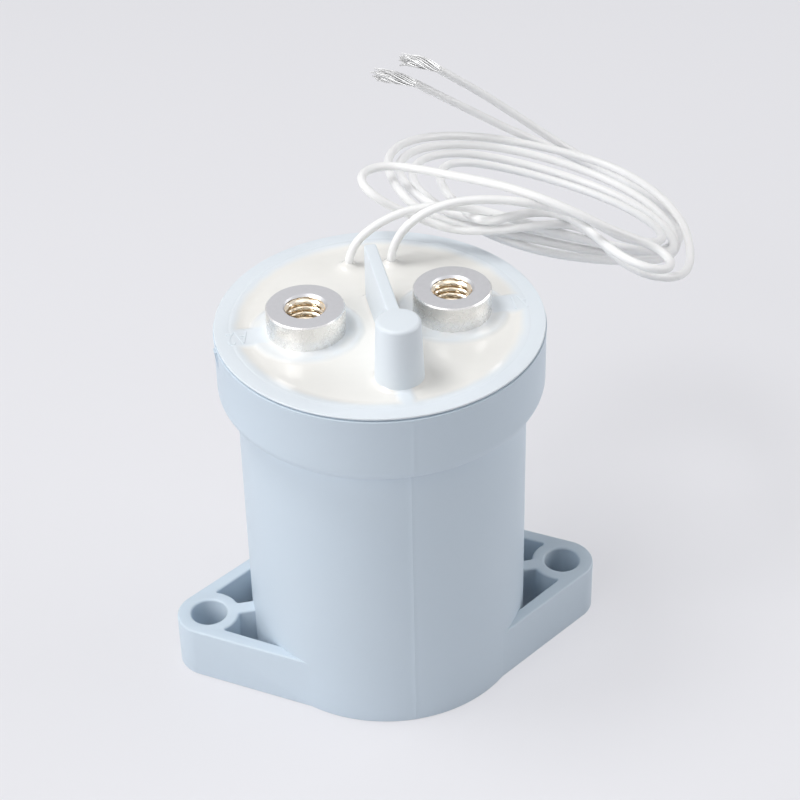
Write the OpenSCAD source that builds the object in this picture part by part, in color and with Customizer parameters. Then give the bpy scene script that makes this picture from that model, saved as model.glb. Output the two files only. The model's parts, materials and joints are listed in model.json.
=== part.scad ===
// Sealed high voltage dc contactor.
// A round moulded cup with two bolting ears holds a solenoid, a moving contact bridge and two
// tapped terminals. A lid frame and poured resin close the mouth, and two coil leads come out.
// Millimetres, Z up, origin at the middle of the foot. Ears and terminals lie along X.

/* [Housing] */
// Outside diameter of the round body
body_d = 56; // [54:0.5:58]
// Outside diameter of the collar round the mouth
collar_d = 63; // [61:0.5:68]
// Height of the cup from its foot to its rim
cup_h = 77.8; // [76:0.1:95]
// Height of the collar from the rim down to the body
collar_h = 14.5; // [13.5:0.5:20]
// Radius of the round under the collar
collar_round = 3; // [2.5:0.1:4]
// Radius of the fillet between that round and the body
collar_fillet = 1; // [0.8:0.1:2]
// Thickness of the body's wall
body_wall = 2; // [1.5:0.1:2.4]
// Thickness of the wall round the mouth
mouth_wall = 2.2; // [1.6:0.1:2.6]
// Thickness of the cup's floor
floor_t = 3; // [2:0.1:4]
// Depth of the inner shoulder below the rim
seat_depth = 11.3; // [10:0.1:11.5]

/* [Bolting ears] */
// Distance between the two bolt holes
bolt_spacing = 74.4; // [73:0.1:84]
// Diameter of a bolt hole
bolt_d = 7.3; // [5:0.1:8]
// Diameter of an ear's round end
ear_d = 13; // [12:0.5:16]
// Height of the ears
flange_h = 11.8; // [6:0.1:16]
// Thickness of an ear's side walls
flange_wall = 3; // [2:0.1:3.4]
// Width of the rib between an ear's two pockets
flange_rib = 3.2; // [2:0.1:5]
// Wall round a bolt hole
boss_wall = 2.55; // [1.5:0.05:2.6]

/* [Lid] */
// Height of the lid's ring above the cup's rim
lid_t = 0.9; // [0.6:0.1:2]
// Width of the ring
lid_ring_w = 3.5; // [3.2:0.1:4.5]
// Width of the cross bars between the ring and the terminals
cross_bar_w = 5.5; // [4.5:0.5:10]
// Width of the collars moulded round the terminals
terminal_collar_w = 2.9; // [1.2:0.1:3.2]
// Thickness of the barrier wall between the terminals
barrier_t = 2.4; // [1.6:0.1:3]
// Height of the barrier above the ring
barrier_h = 11.4; // [6:0.2:20]
// Place of the barrier's free end behind the middle
barrier_end_y = 8.4; // [5:0.2:14]
// Height of the post above the ring
post_h = 12.3; // [8:0.1:20]
// Diameter of the post at its top
post_d = 8.3; // [7:0.1:10]
// Widening of the post down to the ring
post_draft = 0.9; // [0.2:0.1:1.5]
// Distance of the post's axis in from the inside of the ring
post_inset = 9; // [8:0.2:10.4]
// Width of the rib between the post and the ring
post_rib_w = 3.8; // [2:0.1:6]
// Drop of the resin's surface below the top of the ring
resin_drop = 0.7; // [0.5:0.1:0.8]

/* [Terminals] */
// Distance between the two terminals
terminal_pitch = 28.1; // [26:0.1:31]
// Diameter of a terminal's head
terminal_d = 15; // [13:0.1:16]
// Height of a terminal's top above the ring
terminal_stand = 4.9; // [3:0.1:9]
// Diameter of the terminal's thread
thread_d = 8; // [6:1:8]
// Pitch of the thread
thread_pitch = 1.25; // [1:0.25:1.25]
// Depth of the tapped hole
thread_depth = 13; // [8:0.5:15]
// Diameter of the chamfer at the hole's mouth
mouth_d = 8.4; // [8.2:0.1:10.5]
// Diameter of the stem below the header plate
stem_d = 11; // [9:0.5:12]
// Length of the stem below the header plate
stem_drop = 6.5; // [5:0.1:9]
// Thickness of the header plate
header_t = 4; // [3:0.1:5]

/* [Contacts] */
// Thickness of a fixed contact tip
fixed_tip_t = 1.2; // [0.8:0.1:2]
// Diameter of a fixed contact tip
fixed_tip_d = 9; // [7:0.5:11]
// Thickness of a moving contact tip
bridge_tip_t = 1; // [0.6:0.1:2]
// Diameter of a moving contact tip
bridge_tip_d = 8; // [6:0.5:9]
// Open gap between the tips
contact_gap = 1.82; // [1.82:0.02:2.2]
// Thickness of the contact bridge
bridge_t = 3.2; // [2:0.1:5]
// Width of the contact bridge
bridge_w = 10; // [9:0.5:12]
// Length of the contact spring
contact_spring_h = 5; // [4:0.5:8]
// Thickness of the arc chamber's walls
chamber_wall = 1.8; // [1.2:0.1:2.2]
// Width of the arc chamber
chamber_w = 24; // [20:0.5:26]
// Thickness of a blowout magnet
magnet_t = 4; // [3:0.1:4.5]
// Length of a blowout magnet
magnet_l = 20; // [14:0.5:24]
// Height of a blowout magnet
magnet_h = 14; // [10:0.5:15]

/* [Solenoid] */
// Thickness of the yoke strap
yoke_t = 2.5; // [1.5:0.1:3]
// Width of the yoke strap
yoke_w = 20; // [14:0.5:22]
// Inside radius of the strap's bends
yoke_bend = 1; // [0.5:0.1:1.5]
// Thickness of the yoke's top plate
plate_t = 3.5; // [2.5:0.1:4.5]
// Width of the yoke's top plate
plate_w = 30; // [26:0.5:33]
// Diameter of the plunger
plunger_d = 16.2; // [14:0.2:18]
// Height of the plunger
plunger_h = 20.2; // [16:0.2:22]
// Travel of the plunger
travel = 2.4; // [2.4:0.1:3]
// Diameter of the shaft
shaft_d = 4; // [3:0.1:5]
// Wall of the plunger's sleeve
sleeve_wall = 0.55; // [0.4:0.05:0.8]
// Wall of the bobbin's tube
bobbin_wall = 1; // [0.7:0.1:1.5]
// Thickness of the bobbin's flanges
bobbin_flange_t = 1.5; // [1:0.1:2.5]
// Margin of the flanges round the winding
winding_margin = 2.2; // [1:0.1:3]
// Thickness of the winding's wrap
wrap_t = 0.3; // [0.2:0.05:0.6]
// Thickness of the rubber pad under the plunger
pad_t = 1.5; // [1:0.1:2]

/* [Leads] */
// Outside diameter of a coil lead
lead_d = 1.75; // [1.4:0.05:2.2]

/* [Hidden] */
$fn = 96;

// Clearances
fit_gap = 0.1;
running_gap = 0.1;
press_gap = 0.02;
cavity_gap = 0.4;
rest_gap = 0.05;
seat_clear = 1.28;
cut = 1;
// Overshoot that keeps flat sides from only grazing a round
graze = 0.02;

// Housing
body_r = body_d / 2;
collar_r = collar_d / 2;
cavity_r = body_r - body_wall;
mouth_r = collar_r - mouth_wall;
rim_z = cup_h;
seat_z = rim_z - seat_depth;
round_x = collar_r - collar_round;
round_z = rim_z - collar_h + collar_round;
fillet_x = body_r + collar_fillet;
fillet_z = round_z - sqrt(pow(collar_round + collar_fillet, 2) - pow(fillet_x - round_x, 2));
round_share = collar_round / (collar_round + collar_fillet);
blend_x = round_x + (fillet_x - round_x) * round_share;
blend_z = round_z + (fillet_z - round_z) * round_share;
ear_x = bolt_spacing / 2;
ear_r = ear_d / 2;
boss_r = bolt_d / 2 + boss_wall;

// Header, terminals and lid
header_r = mouth_r - fit_gap;
header_top = seat_z + header_t;
ring_top = rim_z + lid_t;
ring_in_r = collar_r - lid_ring_w;
resin_z = ring_top - resin_drop;
bar_top = ring_top - resin_drop / 2;
bar_depth = 3.3;
bar_low = rim_z - bar_depth;
bar_bite = 0.8;
bar_reach = ring_in_r + bar_bite;
web_w = 5.6;
terminal_x = terminal_pitch / 2;
terminal_r = terminal_d / 2;
terminal_top = ring_top + terminal_stand;
terminal_chamfer = 0.35;
tap_r = (thread_d - thread_pitch) / 2;
mouth_chamfer = mouth_d / 2 - tap_r;
terminal_collar_r = terminal_r + terminal_collar_w;
post_top = ring_top + post_h;
post_round = 0.6;
post_low_r = post_d / 2 + post_draft / 2;
post_y = ring_in_r - post_inset;
tube_r = 1.6;
tube_bore_r = 1;
post_bore_r = tube_r + cavity_gap;
post_cap_t = 2.5;
tube_top = post_top - post_cap_t - cut;

// Contacts, from the header plate down
stem_r = stem_d / 2;
stem_z = seat_z - stem_drop;
fixed_tip_z = stem_z - fixed_tip_t;
bridge_tip_z = fixed_tip_z - contact_gap - bridge_tip_t;
bridge_z = bridge_tip_z - bridge_t;
bridge_r = bridge_w / 2;
seat_t = 1;
seat_r = 4.5;
spring_seat_z = bridge_z - contact_spring_h - seat_t;
clip_t = 0.9;
clip_r = 3.6;
clip_z = bridge_tip_z + rest_gap;
chamber_r = cavity_r - cavity_gap;
chamber_z = spring_seat_z - seat_clear - chamber_wall;
shelf_t = 1.5;
magnet_z = bridge_tip_z - magnet_h / 2;
magnet_y = chamber_w / 2 + fit_gap;

// Solenoid, from the floor up
plate_z = chamber_z - plate_t;
yoke_x = sqrt(pow(cavity_r - cavity_gap, 2) - pow(yoke_w / 2, 2));
yoke_top = floor_t + yoke_t;
tab_share = 0.6;
tab_w = yoke_w * tab_share;
shaft_r = shaft_d / 2;
plunger_r = plunger_d / 2;
sleeve_in_r = plunger_r + running_gap;
sleeve_r = sleeve_in_r + sleeve_wall;
sleeve_floor_t = 0.7;
sleeve_lip_t = 0.6;
sleeve_lip_w = 3.2;
bobbin_in_r = sleeve_r + fit_gap;
bobbin_r = bobbin_in_r + bobbin_wall;
bobbin_top = plate_z - sleeve_lip_t;
bobbin_flange_r = yoke_x - yoke_t - yoke_bend - fit_gap;
winding_r = bobbin_flange_r - winding_margin - wrap_t;
pad_z = floor_t + sleeve_floor_t;
pad_margin = 0.6;
pad_r = plunger_r - pad_margin;
plunger_z = pad_z + pad_t + rest_gap;
plunger_top = plunger_z + plunger_h;
core_z = plunger_top + travel + fit_gap;
core_r = plunger_r - fit_gap;
spigot_step = 2;
spigot_r = core_r - spigot_step;
spring_well_r = 5.2;
spring_well_h = 6;
shaft_inset = 4;
shaft_low = plunger_z + shaft_inset;
shaft_stand = 1;
shaft_top = clip_z + clip_t + shaft_stand;

// Springs
return_spring_r = 4.2;
return_wire_r = 0.45;
return_turns = 6;
contact_spring_r = 3.4;
contact_wire_r = 0.4;
contact_turns = 4;
spring_sides = 8;
spring_steps = 20;

// Coil leads: where they stand, and their routes as [x, y, height above the resin]
lead_r = lead_d / 2;
lead_sides = 8;
lead_a = [-2.4, 19.8];
lead_b = [5.8, 18.6];
lead_a_route = [
    [-2.4, 19.8, 0], [-2.2, 19.8, 2], [-1.2, 20.1, 4.6], [1, 20.5, 6.8], [4.4, 20.8, 8.8],
    [8.6, 21, 10.4], [13.6, 21, 11], [18.6, 21, 10.5], [23.6, 20.4, 9.2], [28.4, 18.8, 8.2]];
lead_b_route = [
    [5.8, 18.6, 0], [6, 18.6, 2.4], [6.9, 18.7, 5.4], [9, 18.8, 8.4], [12.4, 18.6, 11],
    [16.2, 18, 12.8], [20.8, 17.4, 13.5], [25.6, 16.4, 13.7], [30.4, 15.2, 13.2], [34.8, 14.4, 12.2],
    [39, 14, 10.9], [43, 13.5, 9.2], [46.8, 12.5, 7], [50.2, 11, 4.4]];
tail_a_route = [
    [72.3, 44.2, -13.6], [72, 50.1, -14.5], [70.6, 55.9, -15.1], [68.1, 61.4, -15.2], [64.6, 66.2, -14.8],
    [60.4, 70.2, -13.8], [55.4, 72.3, -11.5], [50.4, 72.2, -8.3], [45.5, 71.3, -5], [40.6, 70.4, -1.6],
    [35.9, 69.4, 2], [31.2, 68.3, 5.6], [26.5, 67.3, 9.1], [20.7, 66, 13.6]];
tail_b_route = [
    [71.7, 37.2, -14.2], [73.4, 42.9, -15.5], [74.3, 48.6, -16.7], [74.2, 54.6, -17.5], [72.8, 60.4, -18],
    [70.4, 65.9, -18], [66.8, 70.5, -17.3], [62.2, 73.8, -15.4], [57.4, 75, -12.4], [52.9, 74.3, -8.5],
    [48.5, 73.4, -4.4], [44.2, 72.3, -0.4], [39.9, 71, 3.6], [35.7, 69.6, 7.6], [31.3, 68.1, 11.4],
    [25.7, 66.4, 16.2]];
strands_a_route = [[20.7, 66, 13.6], [16.2, 65.6, 15.7], [11.7, 65.2, 17.2]];
strands_b_route = [[25.7, 66.4, 16.2], [21.5, 66, 18.5], [17.7, 65.6, 19.9]];
strand_r = 1.1;

// Loose coil of the leads behind the lid
coil_at = [40, 40, -0.5];
coil_tilt = 18;
coil_turn = 30;
coil_r = 30.5;
coil_band = 12;
coil_height = 10;

// Shared shapes

// Ring or tube standing on the plane z
module tube(outer, inner, low, high) {
    translate([0, 0, low])
        difference() {
            cylinder(r = outer, h = high - low);
            translate([0, 0, -cut])
                cylinder(r = inner, h = high - low + 2 * cut);
        }
}

// Disc standing on the plane z
module disc(radius, low, high) {
    translate([0, 0, low])
        cylinder(r = radius, h = high - low);
}

// Flat bar centred on X and Y, standing on the plane z
module slab(length, width, low, high) {
    translate([-length / 2, -width / 2, low])
        cube([length, width, high - low]);
}

// One copy at each end of the X axis
module both_ends(x) {
    for (side = [-1, 1])
        translate([side * x, 0, 0])
            children();
}

// Points of a ring of radius r at p, square to direction along
function unit(v) = v / norm(v);
function ring_at(p, along, r, sides) =
    let (across = unit(cross(along, [0, 1, 0])), over = cross(across, unit(along)))
    [for (k = [0:sides - 1]) p + r * (cos(360 * k / sides) * across + sin(360 * k / sides) * over)];

// Side faces between neighbouring rings, and the two end caps
function tube_faces(rings, sides) = concat(
    [[for (k = [0:sides - 1]) k]],
    [for (i = [0:rings - 2], k = [0:sides - 1])
        [i * sides + k, (i + 1) * sides + k, (i + 1) * sides + (k + 1) % sides, i * sides + (k + 1) % sides]],
    [[for (k = [sides - 1:-1:0]) (rings - 1) * sides + k]]);

// Direction of a route at point i
function heading(route, i) =
    unit(route[min(i + 1, len(route) - 1)] - route[max(i - 1, 0)]);

// Wire swept along a route
module wire(route, r) {
    points = [for (i = [0:len(route) - 1])
        each ring_at(route[i], i == 0 && route[0].z == 0 ? [0, 0, 1] : heading(route, i), r, lead_sides)];
    translate([0, 0, resin_z])
        polyhedron(points, tube_faces(len(route), lead_sides));
}

// Helical compression spring from low to high with its end turns closed
function spring_lift(u, turns) = u < 1 ? 0 : (u > turns - 1 ? 1 : (u - 1) / (turns - 2));
module spring(radius, wire_r, turns, low, high) {
    steps = turns * spring_steps;
    rise = high - low - 2 * wire_r - 4 * wire_r;
    function lift(u) =
        wire_r + 2 * wire_r * (min(u, 1) + max(0, u - turns + 1)) + rise * spring_lift(u, turns);
    points = [for (i = [0:steps])
        let (u = turns * i / steps, a = 360 * u, out = [cos(a), sin(a), 0])
        each [for (k = [0:spring_sides - 1])
            let (b = -360 * k / spring_sides)
            out * (radius + wire_r * cos(b)) + [0, 0, low + lift(u) + wire_r * sin(b)]]];
    polyhedron(points, tube_faces(steps + 1, spring_sides));
}

// Housing

// Half section of the cup's outside, with the swollen collar
module cup_section() {
    square([body_r, rim_z]);
    translate([0, round_z])
        square([collar_r, rim_z - round_z]);
    translate([round_x, round_z])
        circle(collar_round);
    difference() {
        polygon([[cavity_r, fillet_z], [fillet_x, fillet_z], [blend_x, blend_z],
            [round_x, round_z], [cavity_r, round_z]]);
        translate([fillet_x, fillet_z])
            circle(collar_fillet);
    }
}

// Outline of the two ears, drawn in by inset, with straight sides that run on to the body
module ear_outline(inset) {
    r = ear_r - inset;
    lean = acos((body_r - ear_r) / ear_x);
    for (side = [-1, 1])
        scale([side, 1]) {
            translate([ear_x, 0])
                circle(r);
            polygon([
                [(body_r - inset - graze) * cos(lean), (body_r - inset - graze) * sin(lean)],
                [ear_x + (r - graze) * cos(lean), (r - graze) * sin(lean)],
                [ear_x + (r - graze) * cos(lean), -(r - graze) * sin(lean)],
                [(body_r - inset - graze) * cos(lean), -(body_r - inset - graze) * sin(lean)]]);
        }
}

// Two pockets of each ear, either side of the rib
module ear_pockets() {
    difference() {
        ear_outline(flange_wall);
        circle(body_r);
        both_ends(ear_x)
            circle(boss_r);
        square([2 * ear_x, flange_rib], center = true);
    }
}

module housing() {
    color([0.70, 0.77, 0.83])
        difference() {
            union() {
                rotate_extrude()
                    cup_section();
                linear_extrude(flange_h)
                    ear_outline(0);
            }
            disc(cavity_r, floor_t, rim_z + cut);
            disc(mouth_r, seat_z, rim_z + cut);
            translate([0, 0, -cut])
                linear_extrude(flange_h + 2 * cut)
                    ear_pockets();
            both_ends(ear_x)
                disc(bolt_d / 2, -cut, flange_h + cut);
        }
}

// Lid

// Bars, collars, barrier and post that stand in the resin
module lid_crossing() {
    both_ends((terminal_x + bar_reach) / 2)
        slab(bar_reach - terminal_x, cross_bar_w, bar_low, bar_top);
    both_ends(terminal_x)
        disc(terminal_collar_r, bar_low, bar_top);
    slab(terminal_pitch, web_w, header_top, bar_low);
    translate([0, (barrier_end_y - post_y) / 2, 0])
        slab(barrier_t, barrier_end_y + post_y, header_top, ring_top + barrier_h);
    translate([0, -(post_y + bar_reach) / 2, 0])
        slab(post_rib_w, bar_reach - post_y, bar_low, bar_top);
    translate([0, -post_y, 0]) {
        disc(post_low_r, header_top, ring_top);
        translate([0, 0, ring_top])
            cylinder(r1 = post_low_r, r2 = post_d / 2, h = post_h - post_round);
        translate([0, 0, post_top - post_round])
            cylinder(r1 = post_d / 2, r2 = post_d / 2 - post_round, h = post_round);
    }
}

module top_frame() {
    color([0.82, 0.88, 0.95])
        difference() {
            union() {
                tube(header_r, ring_in_r, header_top, rim_z + cut / 2);
                tube(collar_r, ring_in_r, rim_z, ring_top);
                lid_crossing();
            }
            both_ends(terminal_x)
                disc(terminal_r + rest_gap, header_top - cut, ring_top + cut);
            translate([0, -post_y, 0])
                disc(post_bore_r, header_top - cut, post_top - post_cap_t);
        }
}

module potting() {
    color([0.93, 0.92, 0.89])
        difference() {
            disc(ring_in_r, header_top, resin_z);
            lid_crossing();
            both_ends(terminal_x)
                disc(terminal_r + rest_gap, header_top - cut, ring_top);
            for (at = [lead_a, lead_b])
                translate(at)
                    disc(lead_r, header_top - cut, ring_top);
        }
}

// Terminals and header

// Turned stud with a tapped head, standing on the header plate
module terminal() {
    color([0.80, 0.80, 0.79])
        difference() {
            union() {
                disc(stem_r, stem_z, header_top + cut);
                disc(terminal_r, header_top, terminal_top - terminal_chamfer);
                translate([0, 0, terminal_top - terminal_chamfer])
                    cylinder(r1 = terminal_r, r2 = terminal_r - terminal_chamfer, h = terminal_chamfer);
            }
            disc(tap_r, terminal_top - thread_depth, terminal_top + cut);
            translate([0, 0, terminal_top - mouth_chamfer])
                cylinder(r1 = tap_r, r2 = mouth_d / 2, h = mouth_chamfer);
        }
}

module terminal_left() {
    translate([-terminal_x, 0, 0])
        terminal();
}

module terminal_right() {
    translate([terminal_x, 0, 0])
        terminal();
}

module header_plate() {
    color([0.90, 0.88, 0.82])
        difference() {
            disc(header_r, seat_z, header_top);
            both_ends(terminal_x)
                disc(stem_r + rest_gap, seat_z - cut, header_top + cut);
            translate([0, -post_y, 0])
                disc(tube_r + rest_gap, seat_z - cut, header_top + cut);
            for (at = [lead_a, lead_b])
                translate(at)
                    disc(lead_r + rest_gap, seat_z - cut, header_top + cut);
        }
}

module gas_tube() {
    color([0.72, 0.45, 0.32])
        translate([0, -post_y, 0])
            difference() {
                disc(tube_r, seat_z, tube_top);
                disc(tube_bore_r, seat_z - cut, tube_top - 2 * tube_r);
            }
}

// Contacts

module fixed_tip() {
    color([0.82, 0.82, 0.80])
        disc(fixed_tip_d / 2, fixed_tip_z, stem_z);
}

module fixed_tip_left() {
    translate([-terminal_x, 0, 0])
        fixed_tip();
}

module fixed_tip_right() {
    translate([terminal_x, 0, 0])
        fixed_tip();
}

// Slice of the cavity's round, as wide as the chamber less inset on every side
module chamber_outline(inset) {
    intersection() {
        circle(chamber_r - inset);
        square([2 * chamber_r, chamber_w - 2 * inset], center = true);
    }
}

module arc_chamber() {
    color([0.90, 0.87, 0.80])
        difference() {
            union() {
                translate([0, 0, chamber_z])
                    linear_extrude(seat_z - chamber_z)
                        chamber_outline(0);
                for (side = [-1, 1])
                    translate([0, side * (magnet_y + magnet_t) / 2, 0])
                        slab(magnet_l, magnet_y + magnet_t, magnet_z - shelf_t, magnet_z);
            }
            translate([0, 0, chamber_z + chamber_wall])
                linear_extrude(seat_z - chamber_z)
                    chamber_outline(chamber_wall);
            disc(shaft_r + cavity_gap, chamber_z - cut, chamber_z + chamber_wall + cut);
        }
}

module arc_magnet(side) {
    color([0.25, 0.25, 0.27])
        translate([0, side * (magnet_y + magnet_t / 2), 0])
            slab(magnet_l, magnet_t, magnet_z, magnet_z + magnet_h);
}

module arc_magnet_front() {
    arc_magnet(-1);
}

module arc_magnet_rear() {
    arc_magnet(1);
}

module contact_bridge() {
    color([0.72, 0.45, 0.30])
        difference() {
            union() {
                slab(terminal_pitch, bridge_w - 2 * graze, bridge_z, bridge_tip_z);
                both_ends(terminal_x)
                    disc(bridge_r, bridge_z, bridge_tip_z);
            }
            disc(shaft_r + running_gap, bridge_z - cut, bridge_tip_z + cut);
        }
}

module bridge_tip() {
    color([0.82, 0.82, 0.80])
        disc(bridge_tip_d / 2, bridge_tip_z, bridge_tip_z + bridge_tip_t);
}

module bridge_tip_left() {
    translate([-terminal_x, 0, 0])
        bridge_tip();
}

module bridge_tip_right() {
    translate([terminal_x, 0, 0])
        bridge_tip();
}

module contact_spring() {
    color([0.65, 0.66, 0.68])
        spring(contact_spring_r, contact_wire_r, contact_turns, spring_seat_z + seat_t, bridge_z);
}

module retaining_clip() {
    color([0.60, 0.61, 0.63])
        tube(clip_r, shaft_r + press_gap, clip_z, clip_z + clip_t);
}

module spring_seat() {
    color([0.60, 0.61, 0.63])
        tube(seat_r, shaft_r + press_gap, spring_seat_z, spring_seat_z + seat_t);
}

module plunger_shaft() {
    color([0.68, 0.69, 0.71])
        disc(shaft_r, shaft_low, shaft_top);
}

// Solenoid

module plunger() {
    color([0.55, 0.56, 0.58])
        difference() {
            disc(plunger_r, plunger_z, plunger_top);
            disc(shaft_r + press_gap, shaft_low, plunger_top + cut);
            disc(spring_well_r, plunger_top - spring_well_h, plunger_top + cut);
        }
}

module return_spring() {
    color([0.65, 0.66, 0.68])
        spring(return_spring_r, return_wire_r, return_turns, plunger_top - spring_well_h, core_z);
}

module fixed_core() {
    color([0.55, 0.56, 0.58])
        difference() {
            union() {
                disc(core_r, core_z, plate_z);
                disc(spigot_r, plate_z - cut, plate_z + plate_t);
            }
            disc(shaft_r + running_gap, core_z - cut, plate_z + plate_t + cut);
        }
}

module yoke_plate() {
    color([0.60, 0.61, 0.63])
        difference() {
            intersection() {
                disc(chamber_r, plate_z, plate_z + plate_t);
                slab(2 * chamber_r, plate_w, plate_z, plate_z + plate_t);
            }
            disc(spigot_r + press_gap, plate_z - cut, plate_z + plate_t + cut);
            both_ends(yoke_x - yoke_t / 2)
                slab(yoke_t + 2 * rest_gap, tab_w + 2 * rest_gap, plate_z - cut, plate_z + plate_t + cut);
        }
}

// Upright channel section with round lower corners
module channel(half, low, high, r) {
    translate([-half, low + r])
        square([2 * half, high - low - r]);
    translate([r - half, low])
        square([2 * (half - r), high - low]);
    for (side = [-1, 1])
        translate([side * (half - r), low + r])
            circle(r);
}

module yoke_frame() {
    color([0.60, 0.61, 0.63]) {
        difference() {
            translate([0, yoke_w / 2, 0])
                rotate([90, 0, 0])
                    linear_extrude(yoke_w)
                        difference() {
                            channel(yoke_x, floor_t, plate_z, yoke_t + yoke_bend);
                            channel(yoke_x - yoke_t, yoke_top, plate_z + cut, yoke_bend);
                        }
            disc(sleeve_r + fit_gap, floor_t - cut, yoke_top + cut);
        }
        both_ends(yoke_x - yoke_t / 2)
            slab(yoke_t, tab_w, plate_z - cut, plate_z + plate_t);
    }
}

module core_sleeve() {
    color([0.75, 0.70, 0.50]) {
        tube(sleeve_r, sleeve_in_r, floor_t, plate_z);
        disc(sleeve_r, floor_t, pad_z);
        tube(bobbin_in_r + sleeve_lip_w, sleeve_in_r, bobbin_top, plate_z);
    }
}

module damper_pad() {
    color([0.20, 0.20, 0.21])
        disc(pad_r, pad_z, pad_z + pad_t);
}

// Flanged spool with a shelf under the two leads
module coil_bobbin() {
    lead_reach = max(lead_a.y, lead_b.y) + lead_d;
    shelf_low_x = min(lead_a.x, lead_b.x) - lead_d;
    shelf_high_x = max(lead_a.x, lead_b.x) + lead_d;
    flange_low = bobbin_top - bobbin_flange_t;
    color([0.86, 0.86, 0.84]) {
        tube(bobbin_r, bobbin_in_r, yoke_top, bobbin_top);
        tube(bobbin_flange_r, bobbin_in_r, yoke_top, yoke_top + bobbin_flange_t);
        tube(bobbin_flange_r, bobbin_in_r, flange_low, bobbin_top);
        translate([shelf_low_x, bobbin_r + bobbin_wall, flange_low])
            cube([shelf_high_x - shelf_low_x, lead_reach - bobbin_r - bobbin_wall, bobbin_flange_t]);
    }
}

module coil_winding() {
    color([0.70, 0.38, 0.22])
        tube(winding_r, bobbin_r + press_gap, yoke_top + bobbin_flange_t, bobbin_top - bobbin_flange_t);
}

module coil_wrap() {
    color([0.85, 0.72, 0.30])
        tube(winding_r + wrap_t, winding_r, yoke_top + bobbin_flange_t, bobbin_top - bobbin_flange_t);
}

// Leads

module inner_lead(at) {
    color([0.93, 0.93, 0.93])
        translate(at)
            disc(lead_r, bobbin_top, resin_z);
}

module inner_lead_a() {
    inner_lead(lead_a);
}

module inner_lead_b() {
    inner_lead(lead_b);
}

module lead_wire_a() {
    color([0.93, 0.93, 0.93])
        wire(lead_a_route, lead_r);
}

module lead_wire_b() {
    color([0.93, 0.93, 0.93])
        wire(lead_b_route, lead_r);
}

// Outer shape of the loose turns of both leads
module wire_coil() {
    color([0.93, 0.93, 0.93])
        translate(coil_at + [0, 0, resin_z])
            rotate([0, coil_tilt, coil_turn])
                rotate_extrude()
                    translate([coil_r, 0]) {
                        square([coil_band - coil_height, coil_height], center = true);
                        for (side = [-1, 1])
                            translate([side * (coil_band - coil_height) / 2, 0])
                                circle(coil_height / 2);
                    }
}

module wire_tail_a() {
    color([0.93, 0.93, 0.93])
        wire(tail_a_route, lead_r);
}

module wire_tail_b() {
    color([0.93, 0.93, 0.93])
        wire(tail_b_route, lead_r);
}

module bare_strands_a() {
    color([0.80, 0.80, 0.79])
        wire(strands_a_route, strand_r);
}

module bare_strands_b() {
    color([0.80, 0.80, 0.79])
        wire(strands_b_route, strand_r);
}

housing();
top_frame();
potting();
terminal_left();
terminal_right();
header_plate();
gas_tube();
fixed_tip_left();
fixed_tip_right();
arc_chamber();
arc_magnet_front();
arc_magnet_rear();
contact_bridge();
bridge_tip_left();
bridge_tip_right();
contact_spring();
retaining_clip();
spring_seat();
plunger_shaft();
plunger();
return_spring();
fixed_core();
yoke_plate();
yoke_frame();
core_sleeve();
damper_pad();
coil_bobbin();
coil_winding();
coil_wrap();
inner_lead_a();
inner_lead_b();
lead_wire_a();
lead_wire_b();
wire_coil();
wire_tail_a();
wire_tail_b();
bare_strands_a();
bare_strands_b();
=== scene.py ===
import json
import math

import bmesh
import bpy
from mathutils import Matrix, Vector, noise

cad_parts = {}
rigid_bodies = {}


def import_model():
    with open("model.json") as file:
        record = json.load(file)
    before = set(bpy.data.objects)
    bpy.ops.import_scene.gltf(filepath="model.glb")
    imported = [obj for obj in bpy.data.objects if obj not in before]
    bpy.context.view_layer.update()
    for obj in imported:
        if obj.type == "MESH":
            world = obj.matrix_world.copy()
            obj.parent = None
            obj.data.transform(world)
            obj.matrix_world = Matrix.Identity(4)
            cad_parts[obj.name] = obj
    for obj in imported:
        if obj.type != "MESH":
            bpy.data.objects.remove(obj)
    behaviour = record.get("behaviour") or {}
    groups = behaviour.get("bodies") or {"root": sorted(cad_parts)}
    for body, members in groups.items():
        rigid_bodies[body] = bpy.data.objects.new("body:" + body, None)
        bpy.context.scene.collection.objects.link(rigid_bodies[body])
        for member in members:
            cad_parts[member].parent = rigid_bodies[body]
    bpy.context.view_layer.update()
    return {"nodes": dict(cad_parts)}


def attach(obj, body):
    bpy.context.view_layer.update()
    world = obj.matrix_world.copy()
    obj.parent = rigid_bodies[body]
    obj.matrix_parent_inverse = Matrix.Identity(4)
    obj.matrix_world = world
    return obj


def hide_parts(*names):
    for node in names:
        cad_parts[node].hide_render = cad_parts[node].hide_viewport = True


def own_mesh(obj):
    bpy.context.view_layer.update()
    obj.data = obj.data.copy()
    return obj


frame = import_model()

# Camera, light and floor
# A long lens looks down at the contactor on a pale table. A small soft box hangs high on the left
# and larger weak ones stand round it, and the dim room lets the ears' pockets go dark.
MM = 0.001
scene = bpy.context.scene
scene.view_settings.view_transform = "Standard"

lens = bpy.data.cameras.new("long_lens")
lens.sensor_width = 36
lens.lens = 98.4
camera = bpy.data.objects.new("camera", lens)
camera_right = Vector((0.9799, -0.1986, -0.0192))
camera_up = Vector((0.1331, 0.5788, 0.8046))
camera_back = Vector((-0.1487, -0.7909, 0.5936))
camera_at = Vector((-59.71, -336.4, 311.37)) * MM
camera.matrix_world = Matrix.Translation(camera_at) @ Matrix(
    (camera_right, camera_up, camera_back)).transposed().to_4x4()
scene.collection.objects.link(camera)
scene.camera = camera

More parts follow.
